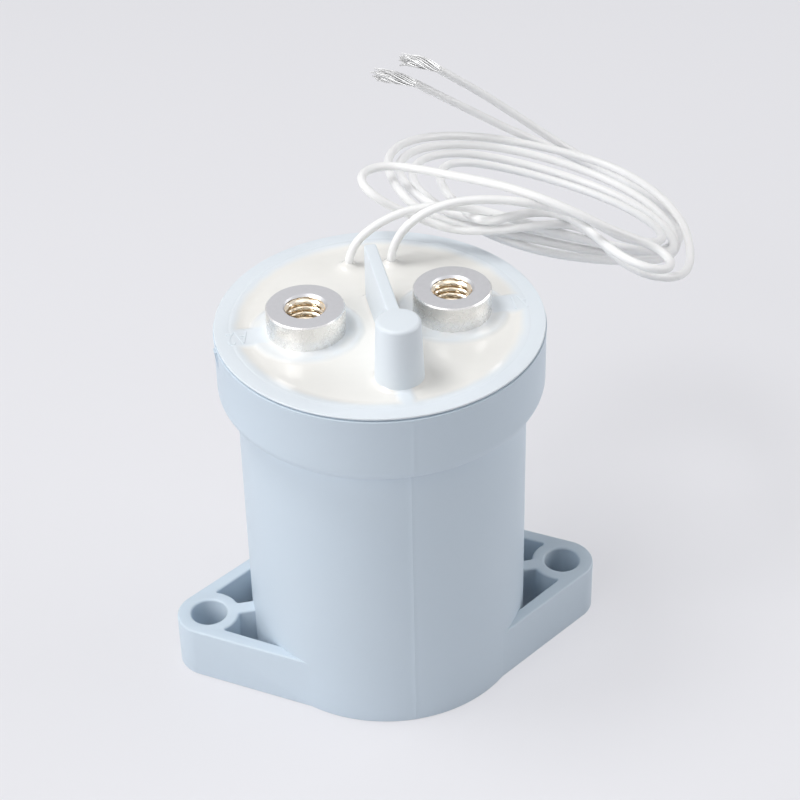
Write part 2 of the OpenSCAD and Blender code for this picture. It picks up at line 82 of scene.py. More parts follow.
room_colour = (0.80, 0.80, 0.83, 1)
room_light = 0.02
world = bpy.data.worlds.new("white_room")
scene.world = world
world.use_nodes = True
nodes = world.node_tree.nodes
links = world.node_tree.links
nodes.clear()
ray = nodes.new("ShaderNodeLightPath")
seen = nodes.new("ShaderNodeMath")
seen.operation = "MAXIMUM"
seen_clear = nodes.new("ShaderNodeMath")
seen_clear.operation = "MAXIMUM"
links.new(ray.outputs["Is Camera Ray"], seen.inputs[0])
links.new(ray.outputs["Is Glossy Ray"], seen.inputs[1])
links.new(seen.outputs[0], seen_clear.inputs[0])
links.new(ray.outputs["Is Transmission Ray"], seen_clear.inputs[1])
lit = nodes.new("ShaderNodeBackground")
lit.inputs["Color"].default_value = (0.97, 0.98, 1.0, 1)
lit.inputs["Strength"].default_value = room_light
wall = nodes.new("ShaderNodeBackground")
wall.inputs["Color"].default_value = room_colour
either = nodes.new("ShaderNodeMixShader")
world_out = nodes.new("ShaderNodeOutputWorld")
links.new(seen_clear.outputs[0], either.inputs["Fac"])
links.new(lit.outputs[0], either.inputs[1])
links.new(wall.outputs[0], either.inputs[2])
links.new(either.outputs[0], world_out.inputs["Surface"])


def soft_lamp(name, at, aim, width, power):
    """A square soft box at one point that faces another."""
    data = bpy.data.lights.new(name, "AREA")
    data.shape = "SQUARE"
    data.size = width
    data.energy = power
    lamp = bpy.data.objects.new(name, data)
    lamp.location = at
    lamp.rotation_euler = (Vector(aim) - Vector(at)).to_track_quat("-Z", "Y").to_euler()
    scene.collection.objects.link(lamp)


box_aim = (0, 0, 0.05)
soft_lamp("key_box", (-0.35, 0.07, 0.83), box_aim, 0.3, 2.8)
soft_lamp("left_box", (-0.75, -0.10, 0.40), box_aim, 0.7, 1.7)
soft_lamp("left_front_box", (-0.60, -0.50, 0.50), box_aim, 0.6, 3.1)
soft_lamp("top_box", (0, 0.10, 0.95), box_aim, 1.0, 2.5)
soft_lamp("right_box", (0.75, -0.05, 0.35), box_aim, 0.6, 2.8)

floor_half = 3
floor_mesh = bpy.data.meshes.new("floor")
floor_mesh.from_pydata(
    [(x * floor_half, y * floor_half, 0) for x, y in ((-1, -1), (1, -1), (1, 1), (-1, 1))],
    [], [(0, 1, 2, 3)])
floor = bpy.data.objects.new("floor", floor_mesh)
scene.collection.objects.link(floor)
table_top = bpy.data.materials.new("table_top")
table_top.use_nodes = True
nodes = table_top.node_tree.nodes
links = table_top.node_tree.links
paper = nodes["Principled BSDF"]
paper.inputs["Base Color"].default_value = (0.78, 0.78, 0.81, 1)
paper.inputs["Roughness"].default_value = 0.9
paper.inputs["Specular IOR Level"].default_value = 0.1
glow_share = 0.6
glow = nodes.new("ShaderNodeEmission")
glow.inputs["Color"].default_value = (0.86, 0.86, 0.90, 1)
ray = nodes.new("ShaderNodeLightPath")
direct = nodes.new("ShaderNodeMath")
direct.operation = "MAXIMUM"
links.new(ray.outputs["Is Camera Ray"], direct.inputs[0])
links.new(ray.outputs["Is Glossy Ray"], direct.inputs[1])
part = nodes.new("ShaderNodeMath")
part.operation = "MULTIPLY"
part.inputs[1].default_value = glow_share
links.new(direct.outputs[0], part.inputs[0])
blend = nodes.new("ShaderNodeMixShader")
links.new(part.outputs[0], blend.inputs["Fac"])
links.new(paper.outputs[0], blend.inputs[1])
links.new(glow.outputs[0], blend.inputs[2])
links.new(blend.outputs[0], nodes["Material Output"].inputs["Surface"])
floor_mesh.materials.append(table_top)

# Coil leads
# Two stranded wires in smooth white jackets, 1.75 mm across. They come up out of the resin, run
# over to a loose hank that was wound round a hand, and come back up from it to stripped ends.
lead_d = 1.75 * MM
lead_relax = 24
resin_z = 78.0
lead_a_route = [
    (-2.4, 19.8, 0), (-2.2, 19.8, 2), (-1.2, 20.1, 4.6), (1, 20.5, 6.8), (4.4, 20.8, 8.8),
    (8.6, 21, 10.4), (13.6, 21, 11), (18.6, 21, 10.5), (23.6, 20.4, 9.2), (28.4, 18.8, 8.2)]
lead_b_route = [
    (5.8, 18.6, 0), (6, 18.6, 2.4), (6.9, 18.7, 5.4), (9, 18.8, 8.4), (12.4, 18.6, 11),
    (16.2, 18, 12.8), (20.8, 17.4, 13.5), (25.6, 16.4, 13.7), (30.4, 15.2, 13.2), (34.8, 14.4, 12.2),
    (39, 14, 10.9), (43, 13.5, 9.2), (46.8, 12.5, 7), (50.2, 11, 4.4)]
tail_a_route = [
    (72.3, 44.2, -13.6), (72, 50.1, -14.5), (70.6, 55.9, -15.1), (68.1, 61.4, -15.2),
    (64.6, 66.2, -14.8), (60.4, 70.2, -13.8), (55.4, 72.3, -11.5), (50.4, 72.2, -8.3),
    (45.5, 71.3, -5), (40.6, 70.4, -1.6), (35.9, 69.4, 2), (31.2, 68.3, 5.6), (26.5, 67.3, 9.1),
    (20.7, 66, 13.6)]
tail_b_route = [
    (71.7, 37.2, -14.2), (73.4, 42.9, -15.5), (74.3, 48.6, -16.7), (74.2, 54.6, -17.5),
    (72.8, 60.4, -18), (70.4, 65.9, -18), (66.8, 70.5, -17.3), (62.2, 73.8, -15.4), (57.4, 75, -12.4),
    (52.9, 74.3, -8.5), (48.5, 73.4, -4.4), (44.2, 72.3, -0.4), (39.9, 71, 3.6), (35.7, 69.6, 7.6),
    (31.3, 68.1, 11.4), (25.7, 66.4, 16.2)]

# The hank's plane, and each wire's way round it: degrees round, radius and height off the plane
hank_at = Vector((40, 40, 77.5))
hank_turn = math.radians(30)
hank_tilt = math.radians(18)
hank_frame = Matrix.Rotation(hank_turn, 3, "Z") @ Matrix.Rotation(hank_tilt, 3, "Y")
turns_a = [
    (237, 25.2, 0.6), (264, 28.4, -0.4), (285, 32.8, -1.2), (293, 32, -1), (317, 28.8, -1.2),
    (344, 26.4, -1.6), (13, 24.6, -2), (43, 24.6, -2), (72, 27.2, -2), (94, 27.4, -2),
    (122, 26.4, -2), (150, 25.6, -2.4), (170, 22.2, -3.6), (199, 21, -4.6), (231, 24.4, -4.2),
    (258, 26.2, -3.8), (282, 31.4, -3.2), (297, 32.6, -2.6), (319, 30.8, -1.4), (343, 28.6, -0.6),
    (10, 27.8, -0.4), (37, 26.8, -0.2), (64, 28.2, -0.2), (90, 28.6, -0.4), (116, 28.8, -0.6),
    (142, 29.4, -0.8), (167, 28.2, -1.4), (183, 25.4, -2.3), (213, 23.2, -0.6), (245, 23, -0.2),
    (274, 26.4, -2.2), (299, 30.2, -3.9), (320, 32.6, -3.6)]
turns_b = [
    (277, 31.8, 1.2), (287, 30, 1), (312, 26.4, -0.8), (342, 23.4, -2), (15, 21.6, -2.8),
    (47, 21.8, -3), (77, 24.8, -3), (94, 23.6, -3), (113, 21.2, -3), (150, 19, -2.4),
    (184, 23.2, -0.4), (203, 29.4, 0), (211, 29, 2.4), (222, 25.8, 4.6), (237, 24.8, 4.8),
    (247, 28.2, 3.2), (249, 34, 2), (253, 42.2, 2), (259, 43.8, 1.8), (265, 41.8, 1.6),
    (269, 37.8, 2), (265, 33.8, 3.2), (257, 32.8, 4.2), (245, 33, 6.2), (234, 31, 8.1),
    (210, 27.8, 8.7), (187, 24.8, 6), (162, 29.6, 3.8), (157, 33.8, 2.8), (159, 38.4, 1.8),
    (165, 41.4, 1.2), (171, 40.8, 0), (175, 36.8, -1.8), (177, 32.4, -3.2), (184, 29.2, -3.8),
    (194, 28.8, -3.4), (211, 28.4, -0.4), (228, 27.4, 3), (237, 24.8, 2.6), (248, 24.2, 2.4),
    (252, 28.6, 1.4), (254, 33.2, -0.2), (261, 37, -2), (270, 39, -2.6), (281, 38.8, -2.6),
    (295, 35.2, -1.4), (317, 32.4, 0.4), (340, 31, 1), (4, 32.2, 1.2), (23, 31.2, 1.2),
    (48, 30.4, 0.8), (72, 30, 1), (97, 30.2, 1), (121, 30.6, 1), (145, 32, 0.8),
    (167, 32.2, -1), (174, 28.8, -3.2), (183, 25, -4.3), (209, 22.4, -2.6), (241, 23.4, -2.2),
    (272, 24.8, -4), (299, 28.4, -5.6), (314, 31.4, -5.8)]


def above_resin(route):
    """A route's points in metres, from its heights above the resin."""
    return [Vector((x, y, z + resin_z)) * MM for x, y, z in route]


def round_hank(turns):
    """Points in metres of a wire's turns, from their places round the hank."""
    points = []
    for degrees, radius, height in turns:
        a = math.radians(degrees)
        spoke = Vector((radius * math.cos(a), radius * math.sin(a), height))
        points.append((hank_at + hank_frame @ spoke) * MM)
    return points


def smooth_line(stops, steps=6, relax=0):
    """One smooth line through all the stops, its tight bends relaxed as a springy wire's are."""
    line = []
    ends = [2 * stops[0] - stops[1], *stops, 2 * stops[-1] - stops[-2]]
    for p, q, r, s in zip(ends, ends[1:], ends[2:], ends[3:]):
        for k in range(steps):
            t = k / steps
            line.append(0.5 * (2 * q + (r - p) * t + (2 * p - 5 * q + 4 * r - s) * t ** 2
                               + (3 * q - p - 3 * r + s) * t ** 3))
    line.append(stops[-1])
    for _ in range(relax):
        slack = [0.25 * p + 0.5 * q + 0.25 * r for p, q, r in zip(line[1:], line[2:], line[3:])]
        line = [line[0], line[1], *slack, line[-1]]
    return line


grain_depth = 0.1 * MM


def finish(name, tint, shade, patch, gloss, grain, relief, metal=0.0):
    """A surface whose colour and gloss drift between two values, with a fine grain.

    Patch and grain are noise scales per metre."""
    material = bpy.data.materials.new(name)
    material.use_nodes = True
    tree = material.node_tree
    surface = tree.nodes["Principled BSDF"]
    surface.inputs["Metallic"].default_value = metal
    place = tree.nodes.new("ShaderNodeTexCoord")
    drift = tree.nodes.new("ShaderNodeTexNoise")
    drift.inputs["Scale"].default_value = patch
    drift.inputs["Detail"].default_value = 4
    tree.links.new(place.outputs["Object"], drift.inputs["Vector"])
    colour = tree.nodes.new("ShaderNodeMix")
    colour.data_type = "RGBA"
    colour.inputs["A"].default_value = (*tint, 1)
    colour.inputs["B"].default_value = (*shade, 1)
    tree.links.new(drift.outputs["Fac"], colour.inputs["Factor"])
    tree.links.new(colour.outputs["Result"], surface.inputs["Base Color"])
    dull = tree.nodes.new("ShaderNodeMapRange")
    dull.inputs["To Min"].default_value = gloss[0]
    dull.inputs["To Max"].default_value = gloss[1]
    tree.links.new(drift.outputs["Fac"], dull.inputs["Value"])
    tree.links.new(dull.outputs["Result"], surface.inputs["Roughness"])
    pores = tree.nodes.new("ShaderNodeTexNoise")
    pores.inputs["Scale"].default_value = grain
    pores.inputs["Detail"].default_value = 3
    tree.links.new(place.outputs["Object"], pores.inputs["Vector"])
    bump = tree.nodes.new("ShaderNodeBump")
    bump.inputs["Strength"].default_value = relief
    bump.inputs["Distance"].default_value = grain_depth
    tree.links.new(pores.outputs["Fac"], bump.inputs["Height"])
    tree.links.new(bump.outputs["Normal"], surface.inputs["Normal"])
    return material


white_jacket = finish(
    "white_jacket", (0.95, 0.95, 0.95), (0.92, 0.92, 0.92), 160, (0.30, 0.42), 1400, 0.08)
jacket_face = white_jacket.node_tree.nodes["Principled BSDF"]
jacket_face.inputs["Subsurface Weight"].default_value = 0.5
jacket_face.inputs["Subsurface Radius"].default_value = (1, 1, 1)
jacket_face.inputs["Subsurface Scale"].default_value = 1.2 * MM


def lead(name, stops):
    """One lead from the resin to its stripped end."""
    line = smooth_line(stops, relax=lead_relax)
    data = bpy.data.curves.new(name, "CURVE")
    data.dimensions = "3D"
    data.bevel_depth = lead_d / 2
    data.bevel_resolution = 4
    data.use_fill_caps = True
    spline = data.splines.new("POLY")
    spline.points.add(len(line) - 1)
    for point, at in zip(spline.points, line):
        point.co = (*at, 1)
    data.materials.append(white_jacket)
    wire = bpy.data.objects.new(name, data)
    scene.collection.objects.link(wire)
    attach(wire, "base")
    return wire


lead_a = lead("lead_a", above_resin(lead_a_route) + round_hank(turns_a) + above_resin(tail_a_route))
lead_b = lead("lead_b", above_resin(lead_b_route) + round_hank(turns_b) + above_resin(tail_b_route))
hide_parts("lead_wire_a", "wire_coil", "wire_tail_a")
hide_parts("lead_wire_b", "wire_tail_b")

# Stripped ends
# The jackets are cut back by some 9 mm. The tinned copper strands keep the lay of the wire and
# fray apart towards their tips.
strands_a_route = [(20.7, 66, 13.6), (16.2, 65.6, 15.7), (11.7, 65.2, 17.2)]
strands_b_route = [(25.7, 66.4, 16.2), (21.5, 66, 18.5), (17.7, 65.6, 19.9)]
tinned = finish(
    "tinned_strand", (0.93, 0.93, 0.92), (0.80, 0.80, 0.79), 2500, (0.2, 0.4), 6000, 0.1, 1.0)


def wired(tree, kind, inputs=None, **settings):
    """A new node with its settings, and its inputs given as numbers or as other nodes' outputs."""
    made = tree.nodes.new(kind)
    for key, value in settings.items():
        setattr(made, key, value)
    for key, value in (inputs or {}).items():
        if isinstance(value, bpy.types.NodeSocket):
            tree.links.new(value, made.inputs[key])
        else:
            made.inputs[key].default_value = value
    return made


def sums(tree, operation, *values):
    """The output of a Math node."""
    return wired(tree, "ShaderNodeMath", dict(enumerate(values)), operation=operation).outputs[0]


def vectors(tree, operation, *values, **named):
    """The vector output of a Vector Math node."""
    keys = {**dict(enumerate(values)), **named}
    return wired(tree, "ShaderNodeVectorMath", keys, operation=operation).outputs["Vector"]


def new_tree(name, sockets):
    """An empty node tree with a geometry input and output and the named inputs."""
    tree = bpy.data.node_groups.new(name, "GeometryNodeTree")
    tree.interface.new_socket("Geometry", in_out="INPUT", socket_type="NodeSocketGeometry")
    for label, kind in sockets:
        tree.interface.new_socket(label, in_out="INPUT", socket_type="NodeSocket" + kind)
    tree.interface.new_socket("Geometry", in_out="OUTPUT", socket_type="NodeSocketGeometry")
    return tree, tree.nodes.new("NodeGroupInput").outputs, tree.nodes.new("NodeGroupOutput").inputs


def plain_mesh(carrier):
    """The mesh that an object comes to with its modifiers, the object itself removed."""
    graph = bpy.context.evaluated_depsgraph_get()
    mesh = bpy.data.meshes.new_from_object(carrier.evaluated_get(graph), depsgraph=graph)
    bpy.data.objects.remove(carrier)
    return mesh


def grown(name, start, tree, values):
    """The plain mesh that a node tree makes from a start mesh and the values of its named inputs."""
    carrier = bpy.data.objects.new(name, start)
    scene.collection.objects.link(carrier)
    step = carrier.modifiers.new(name, "NODES")
    step.node_group = tree
    for item in tree.interface.items_tree:
        if item.in_out == "INPUT" and item.name in values:
            step[item.identifier] = values[item.name]
    mesh = plain_mesh(carrier)
    mesh.name = name
    return mesh


strand_rows = 18
flare_bend = 2.2
fray, given, result = new_tree("frayed_strands", [
    ("Strands", "Int"), ("Strand Radius", "Float"), ("Bundle Radius", "Float"), ("Flare", "Float"),
    ("Lay", "Float"), ("Fray", "Float"), ("Shortening", "Float"), ("Seed", "Int"), ("Material", "Material")])
along = wired(fray, "GeometryNodeMeshToCurve", {"Mesh": given["Geometry"]}).outputs["Curve"]
along = wired(fray, "GeometryNodeResampleCurve", {"Curve": along, "Count": strand_rows}).outputs["Curve"]
copies = wired(fray, "GeometryNodeDuplicateElements", {"Geometry": along, "Amount": given["Strands"]},
               domain="SPLINE").outputs
share = wired(fray, "GeometryNodeSplineParameter").outputs["Factor"]
tangent = wired(fray, "GeometryNodeInputTangent").outputs[0]
side = wired(fray, "GeometryNodeInputNormal").outputs["Normal"]
cross = vectors(fray, "CROSS_PRODUCT", tangent, side)
golden_angle = 2.39996
index = copies["Duplicate Index"]
angle = sums(fray, "ADD", sums(fray, "MULTIPLY", index, golden_angle),
             sums(fray, "MULTIPLY", share, given["Lay"]))
spread = sums(fray, "SQRT", sums(fray, "DIVIDE", sums(fray, "ADD", index, 0.5), given["Strands"]))
flare = sums(fray, "ADD", 1.0, sums(fray, "MULTIPLY", given["Flare"],
             sums(fray, "SINE", sums(fray, "MULTIPLY", share, flare_bend))))
reach = sums(fray, "MULTIPLY", sums(fray, "MULTIPLY", spread, given["Bundle Radius"]), flare)
offset = vectors(
    fray, "ADD",
    vectors(fray, "SCALE", side, Scale=sums(fray, "MULTIPLY", reach, sums(fray, "COSINE", angle))),
    vectors(fray, "SCALE", cross, Scale=sums(fray, "MULTIPLY", reach, sums(fray, "SINE", angle))))
stray = wired(fray, "FunctionNodeRandomValue", {"Min": (-1, -1, -1), "Max": (1, 1, 1), "ID": index,
              "Seed": given["Seed"]}, data_type="FLOAT_VECTOR").outputs["Value"]
stray = vectors(fray, "SCALE", stray, Scale=sums(
    fray, "MULTIPLY", given["Fray"], sums(fray, "POWER", share, 2.0)))
short = wired(fray, "FunctionNodeRandomValue", {2: 0.0, 3: 1.0, "ID": index, "Seed": given["Seed"]},
              data_type="FLOAT").outputs[1]
short = sums(fray, "MULTIPLY", sums(fray, "MULTIPLY", short, given["Shortening"]), share)
short = vectors(fray, "SCALE", tangent, Scale=sums(fray, "MULTIPLY", short, -1.0))
offset = vectors(fray, "ADD", vectors(fray, "ADD", offset, stray), short)
moved = wired(fray, "GeometryNodeSetPosition", {"Geometry": copies["Geometry"], "Offset": offset}).outputs[0]
section = wired(fray, "GeometryNodeCurvePrimitiveCircle", {"Resolution": 6, "Radius": given["Strand Radius"]},
                mode="RADIUS").outputs["Curve"]
solid = wired(fray, "GeometryNodeCurveToMesh", {"Curve": moved, "Profile Curve": section, "Fill Caps": True})
solid = wired(fray, "GeometryNodeSetShadeSmooth", {"Geometry": solid.outputs[0]}).outputs[0]
solid = wired(fray, "GeometryNodeRealizeInstances", {"Geometry": solid}).outputs[0]
solid = wired(fray, "GeometryNodeSetMaterial", {"Geometry": solid, "Material": given["Material"]}).outputs[0]
fray.links.new(solid, result["Geometry"])


def stripped_end(name, node, route, seed):
    """The frayed strands at the end of one lead."""
    line = smooth_line(above_resin(route))
    start = bpy.data.meshes.new(name + "_line")
    start.from_pydata(line, [(k, k + 1) for k in range(len(line) - 1)], [])
    mesh = grown(name, start, fray, {
        "Strands": 30, "Strand Radius": 0.14 * MM, "Bundle Radius": 0.74 * MM, "Flare": 0.85, "Lay": 2.0,
        "Fray": 0.5 * MM, "Shortening": 1.6 * MM, "Seed": seed, "Material": tinned})
    strands = bpy.data.objects.new(name, mesh)
    scene.collection.objects.link(strands)
    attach(strands, "base")
    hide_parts(node)
    return strands


strands_a = stripped_end("strands_a", "bare_strands_a", strands_a_route, 3)
strands_b = stripped_end("strands_b", "bare_strands_b", strands_b_route, 8)

# Housing
# A cup of satin pale blue nylon, moulded in one with its two bolting ears. The mouth swells into
# a collar, and a fine line down the front and back shows where the mould closed.
body_r = 28
collar_r = 31.5
mouth_r = 29.3
cavity_r = 26
rim_z = 77.8
seat_z = 66.5
cup_floor = 3
ear_x = 37.2
ear_r = 6.5
ear_h = 11.8
bolt_r = 3.65
boss_r = 6.2
ear_wall = 3
ear_rib = 3.2
round_steps = 192


def arc(x, y, r, start, end, steps):
    """Points on a circle from one angle to another, in degrees."""
    return [(x + r * math.cos(math.radians(start + (end - start) * k / steps)),
             y + r * math.sin(math.radians(start + (end - start) * k / steps))) for k in range(steps + 1)]


def eased(corners, steps=5):
    """A closed outline of (x, y, radius) corners with each corner rounded."""
    outline = []
    for k, (x, y, r) in enumerate(corners):
        here = Vector((x, y))
        before = (Vector(corners[k - 1][:2]) - here).normalized()
        after = (Vector(corners[(k + 1) % len(corners)][:2]) - here).normalized()
        if r == 0:
            outline.append((x, y))
            continue
        half = math.acos(max(-1, min(1, before.dot(after)))) / 2
        centre = here + (before + after).normalized() * (r / math.sin(half))
        first = here + before * (r / math.tan(half))
        last = here + after * (r / math.tan(half))
        a = math.atan2(first.y - centre.y, first.x - centre.x)
        sweep = math.atan2(last.y - centre.y, last.x - centre.x) - a
        sweep = (sweep + math.pi) % (2 * math.pi) - math.pi
        for s in range(steps + 1):
            turn = a + sweep * s / steps
            outline.append((centre.x + r * math.cos(turn), centre.y + r * math.sin(turn)))
    return outline


def turned(name, section, steps=round_steps, at=(0, 0), closed=False, ridges=(),
           ridge_w=0.8, ridge_h=0.06):
    """A mesh in millimetres turned round an upright axis from (radius, height) points.

    Fine upright ridges stand at the angles given."""
    shape = bmesh.new()
    angles = sorted([360 * k / steps for k in range(steps)]
                    + [a + half for a in ridges for half in (-ridge_w / 2, ridge_w / 2)])
    steps = len(angles)
    rings = []
    for r, z in section:
        if r < 1e-6:
            rings.append([shape.verts.new((at[0], at[1], z))] * steps)
            continue
        ring_of = []
        for a in angles:
            reach = r + (ridge_h if a in ridges else 0)
            ring_of.append(shape.verts.new((at[0] + reach * math.cos(math.radians(a)),
                                            at[1] + reach * math.sin(math.radians(a)), z)))
        rings.append(ring_of)
    pairs = list(zip(rings, rings[1:]))
    if closed:
        pairs.append((rings[-1], rings[0]))
    for low, high in pairs:
        for k in range(steps):
            corner = [low[k], low[(k + 1) % steps], high[(k + 1) % steps], high[k]]
            shape.faces.new(list(dict.fromkeys(corner)))
    bmesh.ops.recalc_face_normals(shape, faces=shape.faces)
    mesh = bpy.data.meshes.new(name)
    shape.to_mesh(mesh)
    shape.free()
    return mesh


def plate(name, loops, low, high, edge, rounds=3):
    """A mesh in millimetres of a flat outline with holes, its edges rounded."""
    data = bpy.data.curves.new(name, "CURVE")
    data.dimensions = "2D"
    data.fill_mode = "BOTH"
    data.extrude = (high - low) / 2 - edge
    data.bevel_depth = edge
    data.bevel_resolution = rounds
    data.offset = -edge
    for loop in loops:
        spline = data.splines.new("POLY")
        spline.points.add(len(loop) - 1)
        spline.use_cyclic_u = True
        for point, (x, y) in zip(spline.points, loop):
            point.co = (x, y, 0, 1)
    carrier = bpy.data.objects.new(name, data)
    scene.collection.objects.link(carrier)
    mesh = plain_mesh(carrier)
    mesh.transform(Matrix.Translation((0, 0, (low + high) / 2)))
    shape = bmesh.new()
    shape.from_mesh(mesh)
    bmesh.ops.remove_doubles(shape, verts=shape.verts, dist=1e-4)
    bmesh.ops.recalc_face_normals(shape, faces=shape.faces)
    shape.to_mesh(mesh)
    shape.free()
    return mesh


def fused(name, meshes):
    """One closed mesh of several that run into each other."""
    first = bpy.data.objects.new(name, meshes[0])
    scene.collection.objects.link(first)
    others = bpy.data.collections.new(name + "_pieces")
    scene.collection.children.link(others)
    for mesh in meshes[1:]:
        others.objects.link(bpy.data.objects.new(mesh.name, mesh))
    union = first.modifiers.new("union", "BOOLEAN")
    union.operation = "UNION"
    union.solver = "EXACT"
    union.operand_type = "COLLECTION"
    union.collection = others
    mesh = plain_mesh(first)
    for other in list(others.objects):
        bpy.data.objects.remove(other)
    bpy.data.collections.remove(others)
    shape = bmesh.new()
    shape.from_mesh(mesh)
    bmesh.ops.remove_doubles(shape, verts=shape.verts, dist=1e-4)
    bmesh.ops.dissolve_degenerate(shape, edges=shape.edges, dist=1e-5)
    bmesh.ops.recalc_face_normals(shape, faces=shape.faces)
    shape.to_mesh(mesh)
    shape.free()
    mesh.name = name
    return mesh


def piece(name, mesh, materials, slot, *replaced, crease=32, body="base"):
    """The finished piece in metres on its body, smooth but for its sharp edges."""
    mesh.transform(Matrix.Scale(MM, 4))
    if len(materials) == 1:
        mesh.materials.clear()
    for material in materials:
        mesh.materials.append(material)
    mesh.shade_smooth()
    mesh.set_sharp_from_angle(angle=math.radians(crease))
    made = bpy.data.objects.new(name, mesh)
    scene.collection.objects.link(made)
    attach(made, body)
    if replaced:
        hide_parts(*replaced)
    return made


# Section of the cup: foot, wall, cove and round under the collar, rim, seat of the header, cavity
foot_edge = 0.5
rim_edge = 0.15
lip_r = collar_r + 0.08
lip_z = rim_z - 0.08
lip_h = 0.5
wall_rows = (3, 6, 9, 11, 12.5, 15, 20, 28, 37, 46, 55)
cove_r = 1
cove_z = 62.331
swell_r = 3
swell_z = 66.3
under_slope = 7.2
cup_section = [
    (0, 0), *arc(body_r - foot_edge, foot_edge, foot_edge, -90, 0, 4),
    *((body_r, z) for z in wall_rows),
    *arc(body_r + cove_r, cove_z, cove_r, 180, 90 + under_slope, 6),
    *arc(collar_r - swell_r, swell_z, swell_r, under_slope - 90, 0, 12),
    (collar_r, lip_z - lip_h), *arc(lip_r - rim_edge, lip_z - rim_edge, rim_edge, 0, 90, 4),
    (mouth_r, lip_z), (mouth_r, seat_z), (cavity_r, seat_z), (cavity_r, cup_floor), (0, cup_floor)]
mould_line = (90, 270)
cup_body = turned("cup_body", cup_section, ridges=mould_line)

# Outline of the ears, and their pockets between the side walls, the rib, the boss and the body
lean = math.degrees(math.acos((body_r - ear_r) / ear_x))
tuck = 0.4
ear_edge = 0.45
rib_corner = 0.8
wall_corner = 0.3
ear_outline = [
    *arc(ear_x, 0, ear_r, -lean, lean, 28),
    *arc(0, 0, body_r - tuck, lean + 6, 174 - lean, 30),
    *arc(-ear_x, 0, ear_r, 180 - lean, 180 + lean, 28),
    *arc(0, 0, body_r - tuck, 186 + lean, 354 - lean, 30)]
out = Vector((math.cos(math.radians(lean)), math.sin(math.radians(lean))))
down = Vector((out.y, -out.x))
wall_line = body_r - ear_wall
boss_gap = wall_line - out.x * ear_x
wall_at_boss = Vector((ear_x, 0)) + out * boss_gap - down * math.sqrt(boss_r ** 2 - boss_gap ** 2)
wall_at_body = out * wall_line + down * math.sqrt((body_r - tuck) ** 2 - wall_line ** 2)
rib_y = ear_rib / 2
rib_at_boss = Vector((ear_x - math.sqrt(boss_r ** 2 - rib_y ** 2), rib_y))
boss_start = 180 - math.degrees(math.asin(rib_y / boss_r))
boss_end = math.degrees(math.atan2(wall_at_boss.y, wall_at_boss.x - ear_x))
corner_gap = 9
boss_arc = arc(ear_x, 0, boss_r, boss_start - corner_gap, boss_end + corner_gap, 8)
body_x = math.sqrt((body_r - tuck) ** 2 - rib_y ** 2)
body_start = math.degrees(math.atan2(wall_at_body.y, wall_at_body.x))
body_arc = arc(0, 0, body_r - tuck, body_start, math.degrees(math.atan2(rib_y, body_x)), 8)
pocket = eased([
    (rib_at_boss.x, rib_at_boss.y, rib_corner), *((x, y, 0) for x, y in boss_arc),
    (wall_at_boss.x, wall_at_boss.y, wall_corner), *((x, y, 0) for x, y in body_arc)])
pockets = [[(sx * x, sy * y) for x, y in pocket] for sx in (1, -1) for sy in (1, -1)]
bolt_holes = [arc(side * ear_x, 0, bolt_r, 0, 352.5, 47) for side in (1, -1)]
ears = plate("ears", [ear_outline, *pockets, *bolt_holes], 0, ear_h, ear_edge)

# The trimmed gate under the rim on the left
gate_y = (-2.6, -1.1)
gate_h = 4.4
gate_out = 0.45
gate_in = mouth_r + 0.6
gate_top = rim_z - 0.3
gate_foot = collar_r - 0.15
gate = bmesh.new()
side_of = []
for y in gate_y:
    side_of.append([gate.verts.new((-x, y, z)) for x, z in (
        (gate_in, gate_top), (collar_r + gate_out, gate_top), (gate_foot, rim_z - gate_h),
        (gate_in, rim_z - gate_h))])
gate.faces.new(side_of[0])
gate.faces.new(list(reversed(side_of[1])))
for k in range(4):
    gate.faces.new([side_of[0][k], side_of[1][k], side_of[1][(k + 1) % 4], side_of[0][(k + 1) % 4]])
bmesh.ops.recalc_face_normals(gate, faces=gate.faces)
gate_wedge = bpy.data.meshes.new("gate_wedge")
gate.to_mesh(gate_wedge)
gate.free()
cup = fused("cup", [cup_body, ears, gate_wedge])

nylon = finish(
    "satin_nylon", (0.645, 0.737, 0.823), (0.62, 0.717, 0.808), 45, (0.42, 0.55), 2600, 0.08)
piece("housing_cup", cup, [nylon], "housing_plastic", "housing")

# Lid frame
# A paler moulding pushed into the mouth until its ring rests on the rim, with a thin dark seam
# between them. Its bars and terminal collars lie just under the resin, and the hollow post and
# the wall between the terminals stand up out of it.
ring_in_r = 28
ring_top = 78.45
lid_low = 70.5
bar_low = 74.5
bar_top = 78.35
header_r = 29.2
ring_out_r = collar_r - 0.1
seam_h = 0.36
seam_r = 30.1
terminal_x = 14.05
terminal_r = 7.5
collar_out_r = 10.4
bar_half = 2.75
bar_start = 21.4
bar_reach = 28.8
rib_half = 1.2
post_y = -19
post_low_r = 4.6
post_top_r = 4.15
post_top = 91
wall_half = 1.2
wall_end = 8.4
wall_top = 90.1
stud_gap = 0.05
bar_edge = 0.3
post_edge = 0.8
barrier_corner = 0.5
barrier_edge = 0.35

